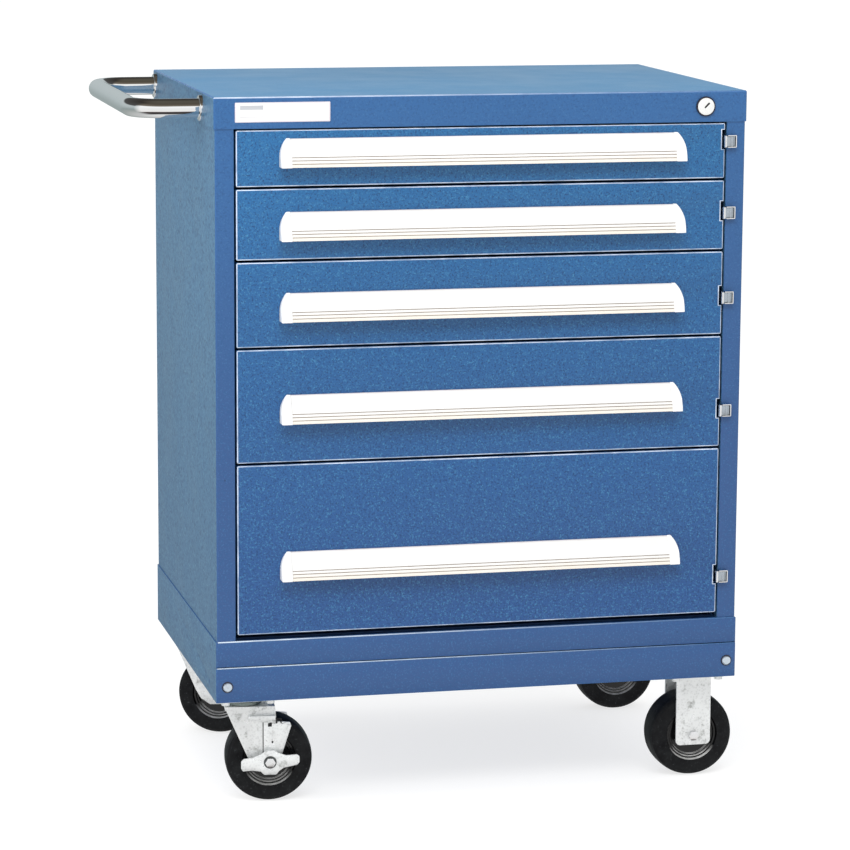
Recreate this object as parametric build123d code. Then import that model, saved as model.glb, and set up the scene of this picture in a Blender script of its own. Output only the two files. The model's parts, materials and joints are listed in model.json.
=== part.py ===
from build123d import *
import math
import os

# Rolling tool chest: a five-drawer sheet-steel cabinet on four casters, with a
# tubular push handle on its left end.  Millimetres, +Z up, the drawers face -Y.
# The pieces are drawn about the cabinet's own centre line and are then moved so
# that the origin lies on the floor under the middle of the whole outline.

# ---------------------------------------------------------------- dimensions
CAB_W = 762.0            # width over the lid
CAB_D = 530.0            # depth over the lid
CAB_H = 848.0            # base bottom to lid top
BASE_Z = 158.0           # floor to base bottom
LID_H = 43.5
BASE_H = 86.7            # height of the base frame
KICK_H = 49.6            # height of the kick plate
SHEET = 1.5
BODY_X = 379.4           # outer half width of the body shell
BODY_Y = 263.4           # outer half depth of the body shell
PILLAR_X = 352.5         # half width of the drawer opening
LID_Z0 = BASE_Z + CAB_H - LID_H
LID_Z1 = BASE_Z + CAB_H
BASE_TOP = BASE_Z + BASE_H

# drawer gaps measured up from the base bottom, top drawer first
GAPS = [804.4, 722.9, 621.9, 500.4, 338.2, 94.1]
GAP = 3.4                # clear gap between drawer faces
FRONT_X = 350.0          # half width of a drawer face
FRONT_T = 20.0           # depth of a drawer face's folded edge
PULL_Z = [771.2, 670.2, 557.8, 415.4, 193.3]     # pull centres, same datum
LATCH_Z = [776.9, 675.9, 554.8, 392.3, 149.7]    # latch centres, same datum
LATCH_PIN_X = 358.6      # hinge pin of a latch
PULL_X = -0.5             # middle of a pull
PULL_HALF = 289.4        # half length of a pull over its end caps
PULL_H = 38.4
PULL_OUT = 20.0          # how far a pull stands out
CAP_L = 15.0             # length of an end cap
PAN_X = 331.0            # outer half width of a drawer pan
PAN_T = 1.2
PAN_Y0 = -243.4
PAN_Y1 = 226.0
SLIDE_Y0, SLIDE_Y1 = -236.0, 228.0

WHEEL_R = 62.0
WHEEL_W = 46.0
AXLE_R = 6.0
CLEAR = 0.05             # radial running clearance
CASTER_X = 332.0
CASTER_YS = {-1: -199.0, 1: 190.0}     # front and rear caster centres
TRAIL = 36.0             # swivel stem to wheel axle
SWIVEL_TURN = {"front": -6.0, "rear": -22.0}     # how the left casters stand at rest

HANDLE_R = 13.5          # push handle tube radius
HANDLE_Z = BASE_Z + 826.3
HANDLE_Y0, HANDLE_Y1 = -174.0, 232.0
HANDLE_REACH = 94.5      # lid side to tube centre line
HANDLE_BEND = 46.0

LOCK_X, LOCK_Z = 319.7, BASE_Z + 826.4
ROD_X, ROD_Y = 364.0, -245.0     # lock rod inside the right pillar

# shift from the cabinet's centre to the middle of the whole outline
X_MIN = -(CAB_W / 2 + HANDLE_REACH + HANDLE_R)
X_MAX = CASTER_X - 1.0 + WHEEL_R
Y_MIN = -BODY_Y - PULL_OUT - 1.0
Y_MAX = CAB_D / 2
SHIFT = Location((-(X_MIN + X_MAX) / 2, -(Y_MIN + Y_MAX) / 2, 0))


# ------------------------------------------------------------------- helpers
def box(x0, x1, y0, y1, z0, z1):
    return Pos((x0 + x1) / 2, (y0 + y1) / 2, (z0 + z1) / 2) * Box(
        abs(x1 - x0), abs(y1 - y0), abs(z1 - z0))


def cyl_y(x, z, r, y0, y1):
    return Pos(x, (y0 + y1) / 2, z) * Rot(90, 0, 0) * Cylinder(r, abs(y1 - y0))


def cyl_z(x, y, r, z0, z1):
    return Pos(x, y, (z0 + z1) / 2) * Cylinder(r, abs(z1 - z0))


def cyl_x(y, z, r, x0, x1):
    return Pos((x0 + x1) / 2, y, z) * Rot(0, 90, 0) * Cylinder(r, abs(x1 - x0))


def vertical_edges(shape, x, y, tol=0.01):
    """Edges parallel to Z at the given plan position."""
    return [e for e in shape.edges().filter_by(Axis.Z)
            if abs(e.center().X - x) < tol and abs(e.center().Y - y) < tol]


def put(name, shape):
    """Write one node; a list keeps its solids separate."""
    shapes = shape if isinstance(shape, list) else [shape]
    solids = [SHIFT * v for s_ in shapes for v in s_.solids()]
    export_step(solids[0] if len(solids) == 1 else Compound(solids), "parts/" + name + ".step")


os.makedirs("parts", exist_ok=True)

# ----------------------------------------------------------------- the shell
# lid: a shallow pan turned over, with hemmed lower edge
lid = box(-CAB_W / 2, CAB_W / 2, -CAB_D / 2, CAB_D / 2, LID_Z0, LID_Z1)
lid = fillet(lid.edges().filter_by(Axis.Z), 2.6)
lid = fillet(lid.faces().sort_by(Axis.Z)[-1].edges(), 2.4)
lid -= box(-CAB_W / 2 + SHEET, CAB_W / 2 - SHEET, -CAB_D / 2 + SHEET,
           CAB_D / 2 - SHEET, LID_Z0 - 1, LID_Z1 - SHEET)
lid -= cyl_y(LOCK_X, LOCK_Z, 11.0, -CAB_D / 2 - 2, -CAB_D / 2 + 4)
put("top_cover", lid)

def side_panel():
    z0, z1 = BASE_TOP, LID_Z1 - SHEET
    s = box(-BODY_X, -PILLAR_X, -BODY_Y, -BODY_Y + 16, z0, z1)
    s += box(-BODY_X, -BODY_X + SHEET, -BODY_Y, BODY_Y, z0, z1)
    s += box(-BODY_X, -356, BODY_Y - SHEET, BODY_Y, z0, z1)
    # hollow the pillar from behind
    s -= box(-BODY_X + SHEET, -PILLAR_X - SHEET, -BODY_Y + SHEET, -BODY_Y + 17, z0, z1)
    e = vertical_edges(s, -BODY_X, -BODY_Y) + vertical_edges(s, -BODY_X, BODY_Y) \
        + vertical_edges(s, -PILLAR_X, -BODY_Y)
    return fillet(e, 2.2)


left = side_panel()
put("side_panel_left", left)
put("side_panel_right", mirror(left, Plane.YZ))

put("back_panel", box(-BODY_X + SHEET + 0.2, BODY_X - SHEET - 0.2,
                      BODY_Y - SHEET - 1.2, BODY_Y - SHEET, BASE_TOP + 2, LID_Z1 - SHEET - 1))

# bottom deck inside the shell
deck = box(-BODY_X + SHEET, BODY_X - SHEET, -BODY_Y + 18, BODY_Y - SHEET - 1.3,
           BASE_TOP, BASE_TOP + SHEET)
put("bottom_deck", deck)

# base frame: side, back and upper front walls, a top flange all round and two
# heavier caster beds
bx, by = CAB_W / 2, CAB_D / 2
base = box(-bx, bx, -by, by, BASE_Z, BASE_TOP)
base = fillet(base.edges().filter_by(Axis.Z), 2.4)
base -= box(-bx + 2, bx - 2, -by + 2, by - 2, BASE_Z - 1, BASE_TOP - 2)
base -= box(-330, 330, -232, 232, BASE_TOP - 3, BASE_TOP + 1)
# the opening the kick plate closes, with a folded lip above it
base -= box(-bx - 1, bx + 1, -by - 1, -by + 2.1, BASE_Z - 1, BASE_Z + KICK_H + 1.8)
base += box(-bx + 2, bx - 2, -by + 1, -by + 16, BASE_Z + KICK_H + 1.8, BASE_Z + KICK_H + 3.4)
for s in (-1, 1):
    base += box(s * 276, s * (bx - 2), -by + 14, by - 2, BASE_Z, BASE_Z + 3)
    base += box(s * 276, s * 279, -by + 14, by - 2, BASE_Z, BASE_Z + 26)
    # small drain slot in each side wall
    base -= box(s * (bx - 4), s * (bx + 1), -211.5, -208.5, BASE_Z + 13, BASE_Z + 22)
put("base_frame", base)

kick = box(-bx, bx, -by, -by + 2, BASE_Z, BASE_Z + KICK_H)
kick = fillet(kick.edges().filter_by(Axis.Z).group_by(Axis.Y)[0], 1.6)
kick += box(-bx + 4, bx - 4, -by + 1, -by + 14, BASE_Z, BASE_Z + 1.8)
kick += box(-bx + 4, bx - 4, -by + 1, -by + 14, BASE_Z + KICK_H - 1.8, BASE_Z + KICK_H)
put("kick_plate", kick)

# four upright posts inside, which carry the slides
posts = []
for s in (-1, 1):
    for ya, yb in ((-239.0, -203.0), (200.0, 236.0)):
        xi, xo = s * 350.0, s * (BODY_X - SHEET)
        p = box(xi, xo, ya, yb, BASE_TOP + SHEET, LID_Z1 - SHEET)
        p -= box(xi + s * 1.8, xo + s, ya + 1.8, yb - 1.8, BASE_TOP, LID_Z1)
        posts.append(p)
put("slide_posts", posts)

# ------------------------------------------------------------------- drawers
fixed_all = []
for n in range(1, 6):
    zt = BASE_Z + GAPS[n - 1] - GAP / 2
    zb = BASE_Z + GAPS[n] + GAP / 2
    if n == 1:
        zt = LID_Z0 - 2.2
    yf = -BODY_Y
    lz = BASE_Z + LATCH_Z[n - 1]

    # face: a shallow tray open to the back, notched for the latch
    f = box(-FRONT_X, FRONT_X, yf, yf + FRONT_T, zb, zt)
    f = fillet(f.edges().filter_by(Axis.Y), 2.4)
    f = fillet(f.faces().sort_by(Axis.Y)[0].edges(), 1.8)
    f -= box(-FRONT_X + SHEET, FRONT_X - SHEET, yf + SHEET + 0.4, yf + FRONT_T + 1,
             zb + SHEET, zt - SHEET)
    nz0, nz1 = lz - 11.4, lz + 16.2
    f += box(343.9, FRONT_X - 0.2, yf + 0.8, yf + FRONT_T, nz0 - 1.4, nz1 + 1.4)
    f -= box(345.3, FRONT_X + 1, yf - 1, yf + FRONT_T + 1, nz0, nz1)
    put("drawer_%d_front" % n, f)

    # pan with its welded outer runners
    p0, p1 = zb + 5.0, zt - 13.0
    pan = box(-PAN_X, PAN_X, PAN_Y0, PAN_Y1, p0, p1)
    pan = fillet(pan.edges().filter_by(Axis.Z), 1.8)
    pan -= box(-PAN_X + PAN_T, PAN_X - PAN_T, PAN_Y0 + PAN_T, PAN_Y1 - PAN_T, p0 + PAN_T, p1 + 1)
    zc = p0 + 28.0
    for s in (-1, 1):
        r = box(s * PAN_X, s * 337.5, SLIDE_Y0, SLIDE_Y1 - 4, zc - 22, zc + 22)
        r -= box(s * (PAN_X + 1.4), s * 338.5, SLIDE_Y0 - 1, SLIDE_Y1, zc - 20.6, zc + 20.6)
        pan += r
    put("drawer_%d_pan" % n, pan)

    # pull: an open-bottomed extrusion, thin at the top, deep at the bottom
    hz = BASE_Z + PULL_Z[n - 1]
    h2 = PULL_H / 2

    def section(out, top, bottom):
        pts = [(0, top), (3.0, top), (8.5, top - 8.4), (14.5, top - 19.6),
               (out - 1.6, bottom + 8.0), (out, bottom)]
        return pts

    outer = section(PULL_OUT, h2, -h2)
    inner = [(PULL_OUT - 2.2, -h2), (PULL_OUT - 3.8, -h2 + 8.0), (12.2, h2 - 19.4),
             (6.0, h2 - 8.2), (2.0, h2 - 4.5), (2.0, -5.0), (0, -5.0)]
    pts = [(yf - v, z + hz) for v, z in outer + inner]
    prof = make_face(Plane.YZ * Polyline(*pts, close=True))
    xa, xb = PULL_X - PULL_HALF + CAP_L, PULL_X + PULL_HALF - CAP_L
    pull = Pos(xa, 0, 0) * extrude(prof, xb - xa, dir=(1, 0, 0))
    # three fine grooves near the lower edge
    for gz, gv in ((-5.8, 16.1), (-10.0, 17.6), (-14.6, 18.9)):
        pull -= box(xa - 1, xb + 1, yf - gv - 1.5, yf - gv + 0.5, hz + gz - 0.5, hz + gz + 0.5)
    put("drawer_%d_handle" % n, pull)

    # end caps, rounded off toward the top
    cap_pts = [(yf - v, z + hz) for v, z in
               section(PULL_OUT + 1.0, h2 + 0.6, -h2 - 0.6)] + [(yf, hz - h2 - 0.6)]
    cap_prof = make_face(Plane.YZ * Polyline(*cap_pts, close=True))
    caps = []
    for s in (-1, 1):
        xe = PULL_X + s * PULL_HALF
        xi = xe - s * CAP_L
        c = Pos(min(xi, xe), 0, 0) * extrude(cap_prof, CAP_L, dir=(1, 0, 0))
        # rounded shoulder seen from the front
        rr = 37.0
        keep = cyl_y(xe - s * rr, hz - 5.0, rr, yf - 40, yf + 5) \
            + box(xe - s * rr, xe, yf - 40, yf + 5, hz - 30, hz - 5)
        c = c & keep
        c -= box(xi - s * 1, xe - s * 3.0, yf - 12.0, yf - 2.0, hz - 30, hz - 6.0)
        caps.append(c)
    put("drawer_%d_handle_caps" % n, caps)

    # fixed slide members on the posts, and the carriages that run between
    car = []
    for s in (-1, 1):
        w = box(s * 342.4, s * 350.0, SLIDE_Y0, SLIDE_Y1, zc - 22, zc + 22)
        w -= box(s * 342.0, s * 348.5, SLIDE_Y0 - 1, SLIDE_Y1 + 1, zc - 20.6, zc + 20.6)
        fixed_all.append(w)
        c = box(s * 339.0, s * 341.6, SLIDE_Y0, SLIDE_Y1 - 2, zc - 19.5, zc + 19.5)
        for k in (-1, 1):
            c += box(s * 333.4, s * 345.0, SLIDE_Y0, SLIDE_Y1 - 2,
                     zc + k * 16.9, zc + k * 20.2)
        car.append(c)
    put("carriage_%d" % n, car)
put("fixed_channels", fixed_all)

# ------------------------------------------------------------------- latches
brackets = []
yb = -BODY_Y
for n in range(1, 6):
    lz = BASE_Z + LATCH_Z[n - 1]
    b = box(351.6, 365.0, yb - 7.6, yb, lz - 8.8, lz + 8.8)
    b = fillet(b.edges().filter_by(Axis.Y), 1.2)
    b -= box(350.0, 363.6, yb - 9.0, yb - 1.2, lz - 7.5, lz + 7.5)
    b -= box(350.0, 353.6, yb - 1.6, yb + 1.0, lz - 9.5, lz + 9.5)
    b += cyl_z(LATCH_PIN_X, yb - 4.8, 1.2, lz - 8.1, lz + 8.1)
    brackets.append(b)
    t = box(350.0, 362.6, yb - 6.0, yb - 4.2, lz - 7.0, lz + 7.0)
    t += cyl_z(LATCH_PIN_X, yb - 4.8, 2.6, lz - 7.0, lz + 7.0)
    lip = box(347.6, 350.4, yb - 8.4, yb + 1.0, lz - 8.6, lz + 8.6)
    lip = fillet(lip.edges().filter_by(Axis.X), 0.9)
    t += lip
    t -= cyl_z(LATCH_PIN_X, yb - 4.8, 1.2 + CLEAR, lz - 10, lz + 10)
    put("latch_%d" % n, t)
put("latch_brackets", brackets)

# ---------------------------------------------------------------------- lock
yl = -CAB_D / 2
ring = cyl_y(LOCK_X, LOCK_Z, 14.0, yl - 3.0, yl)
ring = fillet(ring.faces().sort_by(Axis.Y)[0].edges(), 1.0)
ring += cyl_y(LOCK_X, LOCK_Z, 11.0, yl, yl + 18)
ring -= cyl_y(LOCK_X, LOCK_Z, 12.0, yl - 4, yl - 0.6)
ring -= cyl_y(LOCK_X, LOCK_Z, 8.0, yl - 4, yl + 20)
put("lock_housing", ring)
plug = cyl_y(LOCK_X, LOCK_Z, 11.95, yl - 3.4, yl - 0.9)
plug += cyl_y(LOCK_X, LOCK_Z, 7.95, yl - 1.5, yl + 19.0)
slot = Pos(LOCK_X + 0.9, yl - 3.4, LOCK_Z + 0.9) * Rot(0, -45, 0) * Box(8.5, 3.0, 1.7)
plug -= slot
plug += Pos(LOCK_X, yl + 20.3, LOCK_Z) * Rot(0, 0, 0) * box(-4.0, 15.0, -1.5, 1.5, -4.0, 4.0)
put("lock_plug", plug)
bar = cyl_z(ROD_X, ROD_Y, 4.0, 300.0, LOCK_Z - 9)
bar += box(337.0, ROD_X, ROD_Y - 1.5, ROD_Y + 1.5, LOCK_Z - 17, LOCK_Z - 9)
for lz in LATCH_Z:
    # a short tab opposite each latch
    bar += box(ROD_X - 1.2, ROD_X + 1.2, ROD_Y, ROD_Y + 4.5, BASE_Z + lz - 7, BASE_Z + lz + 7)
put("lock_bar", bar)

# ----------------------------------------------------------------- nameplate
plate = box(-351.5, -218.8, yl - 0.8, yl, BASE_Z + 813.3, BASE_Z + 840.5)
plate = fillet(plate.edges().filter_by(Axis.Y), 1.2)
put("nameplate", plate)

# --------------------------------------------------------------- push handle
xs = -CAB_W / 2
xc = xs - HANDLE_REACH
B = HANDLE_BEND
m = B * (1 - math.sqrt(0.5))
with BuildLine() as hl:
    Line((xs, HANDLE_Y0, HANDLE_Z), (xc + B, HANDLE_Y0, HANDLE_Z))
    ThreePointArc((xc + B, HANDLE_Y0, HANDLE_Z), (xc + m, HANDLE_Y0 + m, HANDLE_Z),
                  (xc, HANDLE_Y0 + B, HANDLE_Z))
    Line((xc, HANDLE_Y0 + B, HANDLE_Z), (xc, HANDLE_Y1 - B, HANDLE_Z))
    ThreePointArc((xc, HANDLE_Y1 - B, HANDLE_Z), (xc + m, HANDLE_Y1 - m, HANDLE_Z),
                  (xc + B, HANDLE_Y1, HANDLE_Z))
    Line((xc + B, HANDLE_Y1, HANDLE_Z), (xs, HANDLE_Y1, HANDLE_Z))
wire = hl.wire()
start = Plane(origin=(xs, HANDLE_Y0, HANDLE_Z), z_dir=(-1, 0, 0))
tube = sweep(start * Circle(HANDLE_R), path=wire)
bore = sweep(start * Circle(HANDLE_R - 2.0), path=wire)
put("handle_tube", tube - bore)
fl = []
for y in (HANDLE_Y0, HANDLE_Y1):
    c = cyl_x(y, HANDLE_Z, 18.0, xs - 6.0, xs)
    c = fillet(c.faces().sort_by(Axis.X)[0].edges(), 2.2)
    fl.append(c - cyl_x(y, HANDLE_Z, HANDLE_R, xs - 10, xs + 1))
put("handle_flanges", fl)

# ------------------------------------------------------------------- casters
def wheel(x, y):
    w2 = WHEEL_W / 2
    half = [(AXLE_R + CLEAR, 0), (AXLE_R + CLEAR, w2 + 2.2), (13.0, w2 + 2.2), (14.5, w2 - 0.5),
            (15.5, w2 - 8.5), (29.5, w2 - 8.5), (31.0, w2 - 5.0), (33.0, w2 - 5.0),
            (34.2, w2 - 3.0), (36.6, w2 - 3.0), (38.4, w2), (56.0, w2), (WHEEL_R - 2.0, w2 - 3.2),
            (WHEEL_R - 0.4, w2 - 9.0), (WHEEL_R, w2 - 16.0), (WHEEL_R, 0)]
    pts = half + [(r, -h) for r, h in half[::-1] if h > 0]
    prof = make_face(Polyline(*[(r, 0, h) for r, h in pts], close=True))
    w = revolve(prof, Axis.Z)
    return Pos(x, y, WHEEL_R) * Rot(90, 0, 0) * w


def outline_y(pts, y0, y1):
    """Plate cut to an X-Z outline between two depths."""
    fc = make_face(Polyline(*[(px, y0, pz) for px, pz in pts], close=True))
    return extrude(fc, abs(y1 - y0), dir=(0, 1, 0))


LEG_IN, LEG_T = 26.0, 3.0
forks, axles, plates, bolts = [], [], [], []
for sy in (-1, 1):
    cy = CASTER_YS[sy]
    # rigid caster on the right
    x = CASTER_X - 1.0
    f = box(x - 41, x + 41, cy - 52, cy + 52, BASE_Z - 4, BASE_Z)
    f = fillet(f.edges().filter_by(Axis.Z), 6)
    f += box(x - 26, x + 26, cy - LEG_IN - LEG_T, cy + LEG_IN + LEG_T, BASE_Z - 8, BASE_Z - 4)
    for k in (-1, 1):
        leg = box(x - 26, x + 26, cy + k * LEG_IN, cy + k * (LEG_IN + LEG_T), BASE_Z - 110, BASE_Z - 5)
        e = leg.edges().filter_by(Axis.Y).group_by(Axis.Z)[0]
        f += fillet(e, 7)
    f -= cyl_y(x, WHEEL_R, AXLE_R, cy - 40, cy + 40)
    forks.append(f)
    a = cyl_y(x, WHEEL_R, AXLE_R, cy - LEG_IN - LEG_T - 1, cy + LEG_IN + LEG_T + 1)
    for k in (-1, 1):
        hx = extrude(Plane.XZ * RegularPolygon(7.4, 6), 5.0)
        y0 = cy + k * (LEG_IN + LEG_T)
        hx = Pos(x, y0 + (5.0 if k > 0 else 0.0), WHEEL_R) * hx
        a += hx
    axles.append(a)
    for px in (-32, 32):
        for py in (-43, 43):
            bolts.append(cyl_z(x + px, cy + py, 6.0, BASE_Z - 9, BASE_Z - 4))

    # swivel caster on the left: plate, race and king pin stay with the cabinet
    x = -CASTER_X
    p = box(x - 43, x + 43, cy - 52, cy + 52, BASE_Z - 4, BASE_Z)
    p = fillet(p.edges().filter_by(Axis.Z), 6)
    p += cyl_z(x, cy, 27.0, BASE_Z - 16.2, BASE_Z - 3)
    p -= Pos(x, cy, BASE_Z - 10.5) * Torus(27.6, 1.6)
    p += cyl_z(x, cy, AXLE_R, BASE_Z - 29, BASE_Z - 15)
    p += cyl_z(x, cy, 10.5, BASE_Z - 29, BASE_Z - 22.6)
    plates.append(p)
    for px in (-32, 32):
        for py in (-43, 43):
            bolts.append(cyl_z(x + px, cy + py, 6.0, BASE_Z - 9, BASE_Z - 4))
put("rigid_caster_forks", forks)
put("rigid_caster_axles", axles)
put("swivel_caster_plates", plates)

for sy, nm in ((-1, "front"), (1, "rear")):
    cy = CASTER_YS[sy]
    x = -CASTER_X
    ax = x + TRAIL
    ztop = BASE_Z - 17.0

    def swung(shape):
        # turned about the king pin to where the caster stands
        return Pos(x, cy, 0) * Rot(0, 0, SWIVEL_TURN[nm]) * Pos(-x, -cy, 0) * shape

    # side view outline of a leg: broad at the crown, tapering to the axle
    w = WHEEL_R
    leg_pts = [(x - 27, ztop), (x - 25, ztop - 6), (ax - 32, w + 7), (ax - 24, w - 6),
               (ax - 10, w - 15), (ax + 8, w - 14), (ax + 15, w), (ax + 31, BASE_Z - 46),
               (ax + 29, BASE_Z - 41), (ax + 10, BASE_Z - 39), (ax + 8, ztop)]
    f = box(x - 27, ax + 8, cy - LEG_IN - LEG_T, cy + LEG_IN + LEG_T, ztop - 4.8, ztop)
    for k in (-1, 1):
        ya, yb2 = sorted((cy + k * LEG_IN, cy + k * (LEG_IN + LEG_T)))
        f += outline_y(leg_pts, ya, yb2)
    # raised cover plate on the outer leg with a folded ledge over it
    yo = cy + sy * (LEG_IN + LEG_T)
    q = BASE_Z - 40
    cov = [(ax - 9, q), (ax - 9, w + 8), (ax + 14, w + 6), (ax + 30, q - 5), (ax + 25, q - 4),
           (ax + 23, q - 1), (ax + 17, q - 3), (ax + 14, q + 1.5), (ax + 8, q - 2), (ax + 2, q - 2),
           (ax, q)]
    ya, yb2 = sorted((yo - sy * 0.5, yo + sy * 2.2))
    f += outline_y(cov, ya, yb2)
    f += box(ax - 30, ax + 8, yo - sy * 0.5, yo + sy * 6.5, BASE_Z - 35.5, BASE_Z - 29.5)
    f -= cyl_y(ax, WHEEL_R, AXLE_R, cy - 50, cy + 50)
    f -= cyl_z(x, cy, AXLE_R + CLEAR, ztop - 10, ztop + 5)
    f -= cyl_y(ax + 4, w + 27, 1.6, cy - 50, cy + 50)
    put("swivel_fork_" + nm, swung(f))

    # axle bolt with its nuts
    ye = yo + sy * 11.6
    yi = cy - sy * (LEG_IN + LEG_T)
    a = cyl_y(ax, WHEEL_R, AXLE_R, min(ye, yi), max(ye, yi))
    for y0, dy in ((ye, sy * 4.5), (yi, -sy * 5.0)):
        hx = extrude(Plane.XZ * RegularPolygon(7.4, 6), abs(dy))
        a += Pos(ax, max(y0, y0 + dy), WHEEL_R) * hx
    put("swivel_axle_" + nm, swung(a))

    # brake lever: a two-winged thumb lever on the axle
    ly0, ly1 = sorted((yo + sy * 8.2, yo + sy * 11.2))
    lev = [(-43, -9), (-40, -13), (-26, -12), (-14, -14), (-9, -19), (9, -19), (13, -14),
           (20, -9), (40, -5), (43.5, -1), (43.5, 8), (40, 11), (24, 10), (12, 14), (6, 18),
           (-5, 18), (-14, 12), (-26, 7), (-39, 6), (-43, 2)]
    lv = outline_y([(ax + a_ * 0.96, WHEEL_R + b_ * 0.96) for a_, b_ in lev], ly0, ly1)
    hub0, hub1 = sorted((yo + sy * 2.7, yo + sy * 9.0))
    lv += cyl_y(ax, WHEEL_R, 10.5, hub0, hub1)
    lv -= cyl_y(ax, WHEEL_R, AXLE_R + CLEAR, cy - 60, cy + 60)
    put("brake_lever_" + nm, swung(lv))
    put("wheel_left_" + nm, swung(wheel(ax, cy)))
    put("wheel_right_" + nm, wheel(CASTER_X - 1.0, cy))

# ----------------------------------------------------------------- fasteners
for x, z in ((-365.1, 22.4), (367.0, 24.0)):
    h = cyl_y(x, BASE_Z + z, 6.6, yl - 3.2, yl)
    bolts.append(fillet(h.faces().sort_by(Axis.Y)[0].edges(), 1.8))
put("fasteners", bolts)
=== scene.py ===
import json
import math

import bmesh
import bpy
from mathutils import Matrix, Vector


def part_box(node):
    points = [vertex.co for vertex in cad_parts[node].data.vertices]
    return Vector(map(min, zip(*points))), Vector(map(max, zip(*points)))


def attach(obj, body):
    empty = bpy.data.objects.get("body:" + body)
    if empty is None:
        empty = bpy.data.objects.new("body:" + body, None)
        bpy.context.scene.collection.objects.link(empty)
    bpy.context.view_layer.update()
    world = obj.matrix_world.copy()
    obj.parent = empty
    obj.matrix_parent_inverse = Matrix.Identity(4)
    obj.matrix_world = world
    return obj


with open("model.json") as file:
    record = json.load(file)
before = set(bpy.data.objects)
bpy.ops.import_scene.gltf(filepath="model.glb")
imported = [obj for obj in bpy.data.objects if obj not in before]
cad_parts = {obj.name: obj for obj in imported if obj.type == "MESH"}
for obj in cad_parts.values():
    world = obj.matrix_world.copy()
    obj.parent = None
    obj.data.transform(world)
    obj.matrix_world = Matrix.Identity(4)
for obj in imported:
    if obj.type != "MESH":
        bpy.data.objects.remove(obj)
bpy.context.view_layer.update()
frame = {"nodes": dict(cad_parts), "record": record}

MM = 0.001
D2 = bpy.data


# ------------------------------------------------------------------ mesh tools
def new_object(name, bm, smooth=35.0):
    me = D2.meshes.new(name)
    bmesh.ops.recalc_face_normals(bm, faces=bm.faces)
    bm.to_mesh(me)
    bm.free()
    ob = D2.objects.new(name, me)
    bpy.context.scene.collection.objects.link(ob)
    shade(ob, smooth)
    return ob


def shade(ob, angle=35.0):
    """Smooth shading that stays sharp over edges steeper than angle."""
    me = ob.data
    me.polygons.foreach_set("use_smooth", [True] * len(me.polygons))
    bm = bmesh.new()
    bm.from_mesh(me)
    lim = math.radians(angle)
    for e in bm.edges:
        e.smooth = not (len(e.link_faces) != 2 or e.calc_face_angle(0.0) > lim)
    bm.to_mesh(me)
    bm.free()
    me.update()


def add_box(bm, lo, hi, r=0.0, seg=3):
    """A box with rounded edges, added to bm."""
    geo = bmesh.ops.create_cube(bm, size=1.0)
    vs = geo["verts"]
    c = (Vector(lo) + Vector(hi)) / 2
    s = Vector(hi) - Vector(lo)
    for v in vs:
        v.co = Vector((v.co.x * s.x, v.co.y * s.y, v.co.z * s.z)) + c
    if r > 0:
        es = list({e for v in vs for e in v.link_edges})
        bmesh.ops.bevel(bm, geom=es, offset=r, segments=seg, profile=0.5, affect="EDGES",
                        clamp_overlap=True)


def boxes(name, parts, smooth=35.0):
    bm = bmesh.new()
    for p in parts:
        add_box(bm, *p)
    return new_object(name, bm, smooth)


def prism(bm, pts, axis, a, b, r=0.0, seg=2, skip_ends=False):
    """An outline pushed from a to b along axis; pts are in the other two axes."""
    def at(p, t):
        if axis == "X":
            return Vector((t, p[0], p[1]))
        if axis == "Y":
            return Vector((p[0], t, p[1]))
        return Vector((p[0], p[1], t))
    lo = [bm.verts.new(at(p, a)) for p in pts]
    hi = [bm.verts.new(at(p, b)) for p in pts]
    n = len(pts)
    fs = [bm.faces.new(lo), bm.faces.new(hi[::-1])]
    for i in range(n):
        j = (i + 1) % n
        fs.append(bm.faces.new((lo[j], lo[i], hi[i], hi[j])))
    if r > 0:
        es = [e for e in {e for f in fs[:2] for e in f.edges}]
        bmesh.ops.bevel(bm, geom=es, offset=r, segments=seg, profile=0.5, affect="EDGES",
                        clamp_overlap=True)


def lathe(bm, profile, centre, axis, steps=96, closed=True):
    """profile is (radius, height) pairs turned about axis through centre."""
    rows = []
    for k in range(steps):
        t = 2 * math.pi * k / steps
        ring = []
        for r, h in profile:
            a, b = r * math.cos(t), r * math.sin(t)
            if axis == "Y":
                v = Vector((a, h, b))
            elif axis == "X":
                v = Vector((h, a, b))
            else:
                v = Vector((a, b, h))
            ring.append(bm.verts.new(Vector(centre) + v))
        rows.append(ring)
    n = len(profile)
    for k in range(steps):
        p, q = rows[k], rows[(k + 1) % steps]
        for i in range(n if closed else n - 1):
            j = (i + 1) % n
            bm.faces.new((p[i], p[j], q[j], q[i]))
    bmesh.ops.remove_doubles(bm, verts=bm.verts, dist=1e-7)


def arc(cx, cy, r, a0, a1, n):
    return [(cx + r * math.cos(math.radians(a0 + (a1 - a0) * i / n)),
             cy + r * math.sin(math.radians(a0 + (a1 - a0) * i / n))) for i in range(n + 1)]


def rounded(pts, radii, n=5):
    """An outline with its corners rounded."""
    out = []
    m = len(pts)
    for i, p in enumerate(pts):
        r = radii[i] if isinstance(radii, (list, tuple)) else radii
        a, b, c = Vector(pts[i - 1]), Vector(p), Vector(pts[(i + 1) % m])
        if r <= 0:
            out.append(tuple(b))
            continue
        u, v = (a - b), (c - b)
        lu, lv = u.length, v.length
        u.normalize()
        v.normalize()
        ang = u.angle(v)
        t = min(r / math.tan(ang / 2), 0.49 * lu, 0.49 * lv)
        p0, p1 = b + u * t, b + v * t
        for k in range(n + 1):
            s = k / n
            out.append(tuple((1 - s) ** 2 * p0 + 2 * s * (1 - s) * b + s * s * p1))
    return out


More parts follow.
